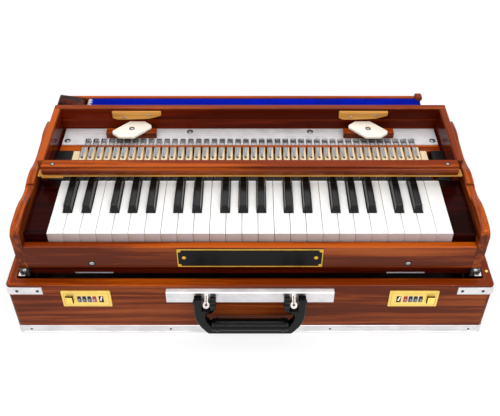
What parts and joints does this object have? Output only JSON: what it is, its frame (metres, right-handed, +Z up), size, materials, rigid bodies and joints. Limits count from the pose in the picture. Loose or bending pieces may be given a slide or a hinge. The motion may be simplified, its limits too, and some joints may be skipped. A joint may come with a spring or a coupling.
{
  "type": "indian harmonium",
  "caption": "Folding suitcase harmonium: keyboard and open reed chamber raised on scissor frames out of a wooden case tray, with rear bellows and a carrying handle.",
  "frame": {"origin": "centre of the underside of the case tray", "axes": "+X along the keyboard to the player's right, +Y from the player to the bellows, +Z up"},
  "size_m": [0.63, 0.3462, 0.1915],
  "materials": {
    "case_wood": "glossy reddish brown lacquer",
    "dark_wood": "dark maroon lacquer",
    "key_white": "polished white key plate",
    "key_black": "polished black key",
    "ivory": "smooth ivory white",
    "bellows_cloth": "blue bellows cloth",
    "handle_plastic": "satin black",
    "aluminium": "satin",
    "steel": "plated",
    "brass": "satin"
  },
  "bodies": {
    "case": {"case_tray": "case_wood", "lock_left": "brass", "lock_right": "brass", "handle_plate": "aluminium"},
    "handle": {"carry_handle": "handle_plastic"},
    "lock_slide_left": {"lock_slide_left": "brass"},
    "lock_slide_right": {"lock_slide_right": "brass"},
    "lift_outer": {"lift_frame_outer": "steel"},
    "lift_inner": {"lift_frame_inner": "steel"},
    "instrument": {"cheek_left": "case_wood", "cheek_right": "case_wood", "key_bed": "dark_wood", "chamber_frame": "case_wood", "reed_board": "dark_wood", "bellows_cloth": "bellows_cloth"},
    "bellows": {"bellows_board": "case_wood"},
    "turn_button_left": {"turn_button_left": "ivory"},
    "turn_button_right": {"turn_button_right": "ivory"},
    "key_c_3": {"key_c_3": "key_white"},
    "key_c_sharp_3": {"key_c_sharp_3": "key_black"},
    "key_d_3": {"key_d_3": "key_white"},
    "key_d_sharp_3": {"key_d_sharp_3": "key_black"},
    "key_e_3": {"key_e_3": "key_white"},
    "key_f_3": {"key_f_3": "key_white"},
    "key_f_sharp_3": {"key_f_sharp_3": "key_black"},
    "key_g_3": {"key_g_3": "key_white"},
    "key_g_sharp_3": {"key_g_sharp_3": "key_black"},
    "key_a_3": {"key_a_3": "key_white"},
    "key_a_sharp_3": {"key_a_sharp_3": "key_black"},
    "key_b_3": {"key_b_3": "key_white"},
    "key_c_4": {"key_c_4": "key_white"},
    "key_c_sharp_4": {"key_c_sharp_4": "key_black"},
    "key_d_4": {"key_d_4": "key_white"},
    "key_d_sharp_4": {"key_d_sharp_4": "key_black"},
    "key_e_4": {"key_e_4": "key_white"},
    "key_f_4": {"key_f_4": "key_white"},
    "key_f_sharp_4": {"key_f_sharp_4": "key_black"},
    "key_g_4": {"key_g_4": "key_white"},
    "key_g_sharp_4": {"key_g_sharp_4": "key_black"},
    "key_a_4": {"key_a_4": "key_white"},
    "key_a_sharp_4": {"key_a_sharp_4": "key_black"},
    "key_b_4": {"key_b_4": "key_white"},
    "key_c_5": {"key_c_5": "key_white"},
    "key_c_sharp_5": {"key_c_sharp_5": "key_black"},
    "key_d_5": {"key_d_5": "key_white"},
    "key_d_sharp_5": {"key_d_sharp_5": "key_black"},
    "key_e_5": {"key_e_5": "key_white"},
    "key_f_5": {"key_f_5": "key_white"},
    "key_f_sharp_5": {"key_f_sharp_5": "key_black"},
    "key_g_5": {"key_g_5": "key_white"},
    "key_g_sharp_5": {"key_g_sharp_5": "key_black"},
    "key_a_5": {"key_a_5": "key_white"},
    "key_a_sharp_5": {"key_a_sharp_5": "key_black"},
    "key_b_5": {"key_b_5": "key_white"},
    "key_c_6": {"key_c_6": "key_white"},
    "key_c_sharp_6": {"key_c_sharp_6": "key_black"},
    "key_d_6": {"key_d_6": "key_white"},
    "key_d_sharp_6": {"key_d_sharp_6": "key_black"},
    "key_e_6": {"key_e_6": "key_white"},
    "key_f_6": {"key_f_6": "key_white"}
  },
  "joints": [
    {"name": "lift_raise", "type": "hinge", "parent": "case", "child": "lift_outer", "pos_m": [0, -0.14, 0.0113], "axis": [1, 0, 0], "range_deg": [-21.61, 0]},
    {"name": "lift_cross", "type": "hinge", "parent": "lift_outer", "child": "lift_inner", "pos_m": [0, -0.04022, 0.0576], "axis": [1, 0, 0], "range_deg": [0, 43.32]},
    {"name": "lift_top", "type": "hinge", "parent": "lift_inner", "child": "instrument", "pos_m": [0, -0.14, 0.1039], "axis": [1, 0, 0], "range_deg": [-21.71, 0]},
    {"name": "handle_swing", "type": "hinge", "parent": "case", "child": "handle", "pos_m": [0, -0.1762, 0.082], "axis": [-1, 0, 0], "range_deg": [0, 100]},
    {"name": "lock_slide_left_move", "type": "slide", "parent": "case", "child": "lock_slide_left", "axis": [1, 0, 0], "range_m": [0, 0.005], "stiffness_N_per_m": 150, "springref_m": -0.002},
    {"name": "lock_slide_right_move", "type": "slide", "parent": "case", "child": "lock_slide_right", "axis": [-1, 0, 0], "range_m": [0, 0.005], "stiffness_N_per_m": 150, "springref_m": -0.002},
    {"name": "bellows_open", "type": "hinge", "parent": "instrument", "child": "bellows", "pos_m": [0.257, 0.134, 0.14075], "axis": [0, 0, -1], "range_deg": [0, 20], "deforming": ["bellows_cloth"]},
    {"name": "turn_button_left_turn", "type": "hinge", "parent": "instrument", "child": "turn_button_left", "pos_m": [-0.171, 0.075, 0.16865], "axis": [0, 0, -1], "range_deg": [0, 44]},
    {"name": "turn_button_right_turn", "type": "hinge", "parent": "instrument", "child": "turn_button_right", "pos_m": [0.171, 0.075, 0.16865], "axis": [0, 0, 1], "range_deg": [0, 44]},
    {"name": "key_c_3_press", "type": "hinge", "parent": "instrument", "child": "key_c_3", "pos_m": [0, -0.01, 0.1442], "axis": [1, 0, 0], "range_deg": [0, 3.4], "stiffness_Nm_per_rad": 0.3, "springref_deg": -14.32},
    {"name": "key_c_sharp_3_press", "type": "hinge", "parent": "instrument", "child": "key_c_sharp_3", "pos_m": [0, -0.01, 0.1442], "axis": [1, 0, 0], "range_deg": [0, 3.4], "stiffness_Nm_per_rad": 0.3, "springref_deg": -14.32},
    {"name": "key_d_3_press", "type": "hinge", "parent": "instrument", "child": "key_d_3", "pos_m": [0, -0.01, 0.1442], "axis": [1, 0, 0], "range_deg": [0, 3.4], "stiffness_Nm_per_rad": 0.3, "springref_deg": -14.32},
    {"name": "key_d_sharp_3_press", "type": "hinge", "parent": "instrument", "child": "key_d_sharp_3", "pos_m": [0, -0.01, 0.1442], "axis": [1, 0, 0], "range_deg": [0, 3.4], "stiffness_Nm_per_rad": 0.3, "springref_deg": -14.32},
    {"name": "key_e_3_press", "type": "hinge", "parent": "instrument", "child": "key_e_3", "pos_m": [0, -0.01, 0.1442], "axis": [1, 0, 0], "range_deg": [0, 3.4], "stiffness_Nm_per_rad": 0.3, "springref_deg": -14.32},
    {"name": "key_f_3_press", "type": "hinge", "parent": "instrument", "child": "key_f_3", "pos_m": [0, -0.01, 0.1442], "axis": [1, 0, 0], "range_deg": [0, 3.4], "stiffness_Nm_per_rad": 0.3, "springref_deg": -14.32},
    {"name": "key_f_sharp_3_press", "type": "hinge", "parent": "instrument", "child": "key_f_sharp_3", "pos_m": [0, -0.01, 0.1442], "axis": [1, 0, 0], "range_deg": [0, 3.4], "stiffness_Nm_per_rad": 0.3, "springref_deg": -14.32},
    {"name": "key_g_3_press", "type": "hinge", "parent": "instrument", "child": "key_g_3", "pos_m": [0, -0.01, 0.1442], "axis": [1, 0, 0], "range_deg": [0, 3.4], "stiffness_Nm_per_rad": 0.3, "springref_deg": -14.32},
    {"name": "key_g_sharp_3_press", "type": "hinge", "parent": "instrument", "child": "key_g_sharp_3", "pos_m": [0, -0.01, 0.1442], "axis": [1, 0, 0], "range_deg": [0, 3.4], "stiffness_Nm_per_rad": 0.3, "springref_deg": -14.32},
    {"name": "key_a_3_press", "type": "hinge", "parent": "instrument", "child": "key_a_3", "pos_m": [0, -0.01, 0.1442], "axis": [1, 0, 0], "range_deg": [0, 3.4], "stiffness_Nm_per_rad": 0.3, "springref_deg": -14.32},
    {"name": "key_a_sharp_3_press", "type": "hinge", "parent": "instrument", "child": "key_a_sharp_3", "pos_m": [0, -0.01, 0.1442], "axis": [1, 0, 0], "range_deg": [0, 3.4], "stiffness_Nm_per_rad": 0.3, "springref_deg": -14.32},
    {"name": "key_b_3_press", "type": "hinge", "parent": "instrument", "child": "key_b_3", "pos_m": [0, -0.01, 0.1442], "axis": [1, 0, 0], "range_deg": [0, 3.4], "stiffness_Nm_per_rad": 0.3, "springref_deg": -14.32},
    {"name": "key_c_4_press", "type": "hinge", "parent": "instrument", "child": "key_c_4", "pos_m": [0, -0.01, 0.1442], "axis": [1, 0, 0], "range_deg": [0, 3.4], "stiffness_Nm_per_rad": 0.3, "springref_deg": -14.32},
    {"name": "key_c_sharp_4_press", "type": "hinge", "parent": "instrument", "child": "key_c_sharp_4", "pos_m": [0, -0.01, 0.1442], "axis": [1, 0, 0], "range_deg": [0, 3.4], "stiffness_Nm_per_rad": 0.3, "springref_deg": -14.32},
    {"name": "key_d_4_press", "type": "hinge", "parent": "instrument", "child": "key_d_4", "pos_m": [0, -0.01, 0.1442], "axis": [1, 0, 0], "range_deg": [0, 3.4], "stiffness_Nm_per_rad": 0.3, "springref_deg": -14.32},
    {"name": "key_d_sharp_4_press", "type": "hinge", "parent": "instrument", "child": "key_d_sharp_4", "pos_m": [0, -0.01, 0.1442], "axis": [1, 0, 0], "range_deg": [0, 3.4], "stiffness_Nm_per_rad": 0.3, "springref_deg": -14.32},
    {"name": "key_e_4_press", "type": "hinge", "parent": "instrument", "child": "key_e_4", "pos_m": [0, -0.01, 0.1442], "axis": [1, 0, 0], "range_deg": [0, 3.4], "stiffness_Nm_per_rad": 0.3, "springref_deg": -14.32},
    {"name": "key_f_4_press", "type": "hinge", "parent": "instrument", "child": "key_f_4", "pos_m": [0, -0.01, 0.1442], "axis": [1, 0, 0], "range_deg": [0, 3.4], "stiffness_Nm_per_rad": 0.3, "springref_deg": -14.32},
    {"name": "key_f_sharp_4_press", "type": "hinge", "parent": "instrument", "child": "key_f_sharp_4", "pos_m": [0, -0.01, 0.1442], "axis": [1, 0, 0], "range_deg": [0, 3.4], "stiffness_Nm_per_rad": 0.3, "springref_deg": -14.32},
    {"name": "key_g_4_press", "type": "hinge", "parent": "instrument", "child": "key_g_4", "pos_m": [0, -0.01, 0.1442], "axis": [1, 0, 0], "range_deg": [0, 3.4], "stiffness_Nm_per_rad": 0.3, "springref_deg": -14.32},
    {"name": "key_g_sharp_4_press", "type": "hinge", "parent": "instrument", "child": "key_g_sharp_4", "pos_m": [0, -0.01, 0.1442], "axis": [1, 0, 0], "range_deg": [0, 3.4], "stiffness_Nm_per_rad": 0.3, "springref_deg": -14.32},
    {"name": "key_a_4_press", "type": "hinge", "parent": "instrument", "child": "key_a_4", "pos_m": [0, -0.01, 0.1442], "axis": [1, 0, 0], "range_deg": [0, 3.4], "stiffness_Nm_per_rad": 0.3, "springref_deg": -14.32},
    {"name": "key_a_sharp_4_press", "type": "hinge", "parent": "instrument", "child": "key_a_sharp_4", "pos_m": [0, -0.01, 0.1442], "axis": [1, 0, 0], "range_deg": [0, 3.4], "stiffness_Nm_per_rad": 0.3, "springref_deg": -14.32},
    {"name": "key_b_4_press", "type": "hinge", "parent": "instrument", "child": "key_b_4", "pos_m": [0, -0.01, 0.1442], "axis": [1, 0, 0], "range_deg": [0, 3.4], "stiffness_Nm_per_rad": 0.3, "springref_deg": -14.32},
    {"name": "key_c_5_press", "type": "hinge", "parent": "instrument", "child": "key_c_5", "pos_m": [0, -0.01, 0.1442], "axis": [1, 0, 0], "range_deg": [0, 3.4], "stiffness_Nm_per_rad": 0.3, "springref_deg": -14.32},
    {"name": "key_c_sharp_5_press", "type": "hinge", "parent": "instrument", "child": "key_c_sharp_5", "pos_m": [0, -0.01, 0.1442], "axis": [1, 0, 0], "range_deg": [0, 3.4], "stiffness_Nm_per_rad": 0.3, "springref_deg": -14.32},
    {"name": "key_d_5_press", "type": "hinge", "parent": "instrument", "child": "key_d_5", "pos_m": [0, -0.01, 0.1442], "axis": [1, 0, 0], "range_deg": [0, 3.4], "stiffness_Nm_per_rad": 0.3, "springref_deg": -14.32},
    {"name": "key_d_sharp_5_press", "type": "hinge", "parent": "instrument", "child": "key_d_sharp_5", "pos_m": [0, -0.01, 0.1442], "axis": [1, 0, 0], "range_deg": [0, 3.4], "stiffness_Nm_per_rad": 0.3, "springref_deg": -14.32},
    {"name": "key_e_5_press", "type": "hinge", "parent": "instrument", "child": "key_e_5", "pos_m": [0, -0.01, 0.1442], "axis": [1, 0, 0], "range_deg": [0, 3.4], "stiffness_Nm_per_rad": 0.3, "springref_deg": -14.32},
    {"name": "key_f_5_press", "type": "hinge", "parent": "instrument", "child": "key_f_5", "pos_m": [0, -0.01, 0.1442], "axis": [1, 0, 0], "range_deg": [0, 3.4], "stiffness_Nm_per_rad": 0.3, "springref_deg": -14.32},
    {"name": "key_f_sharp_5_press", "type": "hinge", "parent": "instrument", "child": "key_f_sharp_5", "pos_m": [0, -0.01, 0.1442], "axis": [1, 0, 0], "range_deg": [0, 3.4], "stiffness_Nm_per_rad": 0.3, "springref_deg": -14.32},
    {"name": "key_g_5_press", "type": "hinge", "parent": "instrument", "child": "key_g_5", "pos_m": [0, -0.01, 0.1442], "axis": [1, 0, 0], "range_deg": [0, 3.4], "stiffness_Nm_per_rad": 0.3, "springref_deg": -14.32},
    {"name": "key_g_sharp_5_press", "type": "hinge", "parent": "instrument", "child": "key_g_sharp_5", "pos_m": [0, -0.01, 0.1442], "axis": [1, 0, 0], "range_deg": [0, 3.4], "stiffness_Nm_per_rad": 0.3, "springref_deg": -14.32},
    {"name": "key_a_5_press", "type": "hinge", "parent": "instrument", "child": "key_a_5", "pos_m": [0, -0.01, 0.1442], "axis": [1, 0, 0], "range_deg": [0, 3.4], "stiffness_Nm_per_rad": 0.3, "springref_deg": -14.32},
    {"name": "key_a_sharp_5_press", "type": "hinge", "parent": "instrument", "child": "key_a_sharp_5", "pos_m": [0, -0.01, 0.1442], "axis": [1, 0, 0], "range_deg": [0, 3.4], "stiffness_Nm_per_rad": 0.3, "springref_deg": -14.32},
    {"name": "key_b_5_press", "type": "hinge", "parent": "instrument", "child": "key_b_5", "pos_m": [0, -0.01, 0.1442], "axis": [1, 0, 0], "range_deg": [0, 3.4], "stiffness_Nm_per_rad": 0.3, "springref_deg": -14.32},
    {"name": "key_c_6_press", "type": "hinge", "parent": "instrument", "child": "key_c_6", "pos_m": [0, -0.01, 0.1442], "axis": [1, 0, 0], "range_deg": [0, 3.4], "stiffness_Nm_per_rad": 0.3, "springref_deg": -14.32},
    {"name": "key_c_sharp_6_press", "type": "hinge", "parent": "instrument", "child": "key_c_sharp_6", "pos_m": [0, -0.01, 0.1442], "axis": [1, 0, 0], "range_deg": [0, 3.4], "stiffness_Nm_per_rad": 0.3, "springref_deg": -14.32},
    {"name": "key_d_6_press", "type": "hinge", "parent": "instrument", "child": "key_d_6", "pos_m": [0, -0.01, 0.1442], "axis": [1, 0, 0], "range_deg": [0, 3.4], "stiffness_Nm_per_rad": 0.3, "springref_deg": -14.32},
    {"name": "key_d_sharp_6_press", "type": "hinge", "parent": "instrument", "child": "key_d_sharp_6", "pos_m": [0, -0.01, 0.1442], "axis": [1, 0, 0], "range_deg": [0, 3.4], "stiffness_Nm_per_rad": 0.3, "springref_deg": -14.32},
    {"name": "key_e_6_press", "type": "hinge", "parent": "instrument", "child": "key_e_6", "pos_m": [0, -0.01, 0.1442], "axis": [1, 0, 0], "range_deg": [0, 3.4], "stiffness_Nm_per_rad": 0.3, "springref_deg": -14.32},
    {"name": "key_f_6_press", "type": "hinge", "parent": "instrument", "child": "key_f_6", "pos_m": [0, -0.01, 0.1442], "axis": [1, 0, 0], "range_deg": [0, 3.4], "stiffness_Nm_per_rad": 0.3, "springref_deg": -14.32}
  ],
  "couplings": [
    {"joint": "lift_cross", "follows": "lift_raise", "ratio": -2},
    {"joint": "lift_top", "follows": "lift_raise", "ratio": 1}
  ]
}
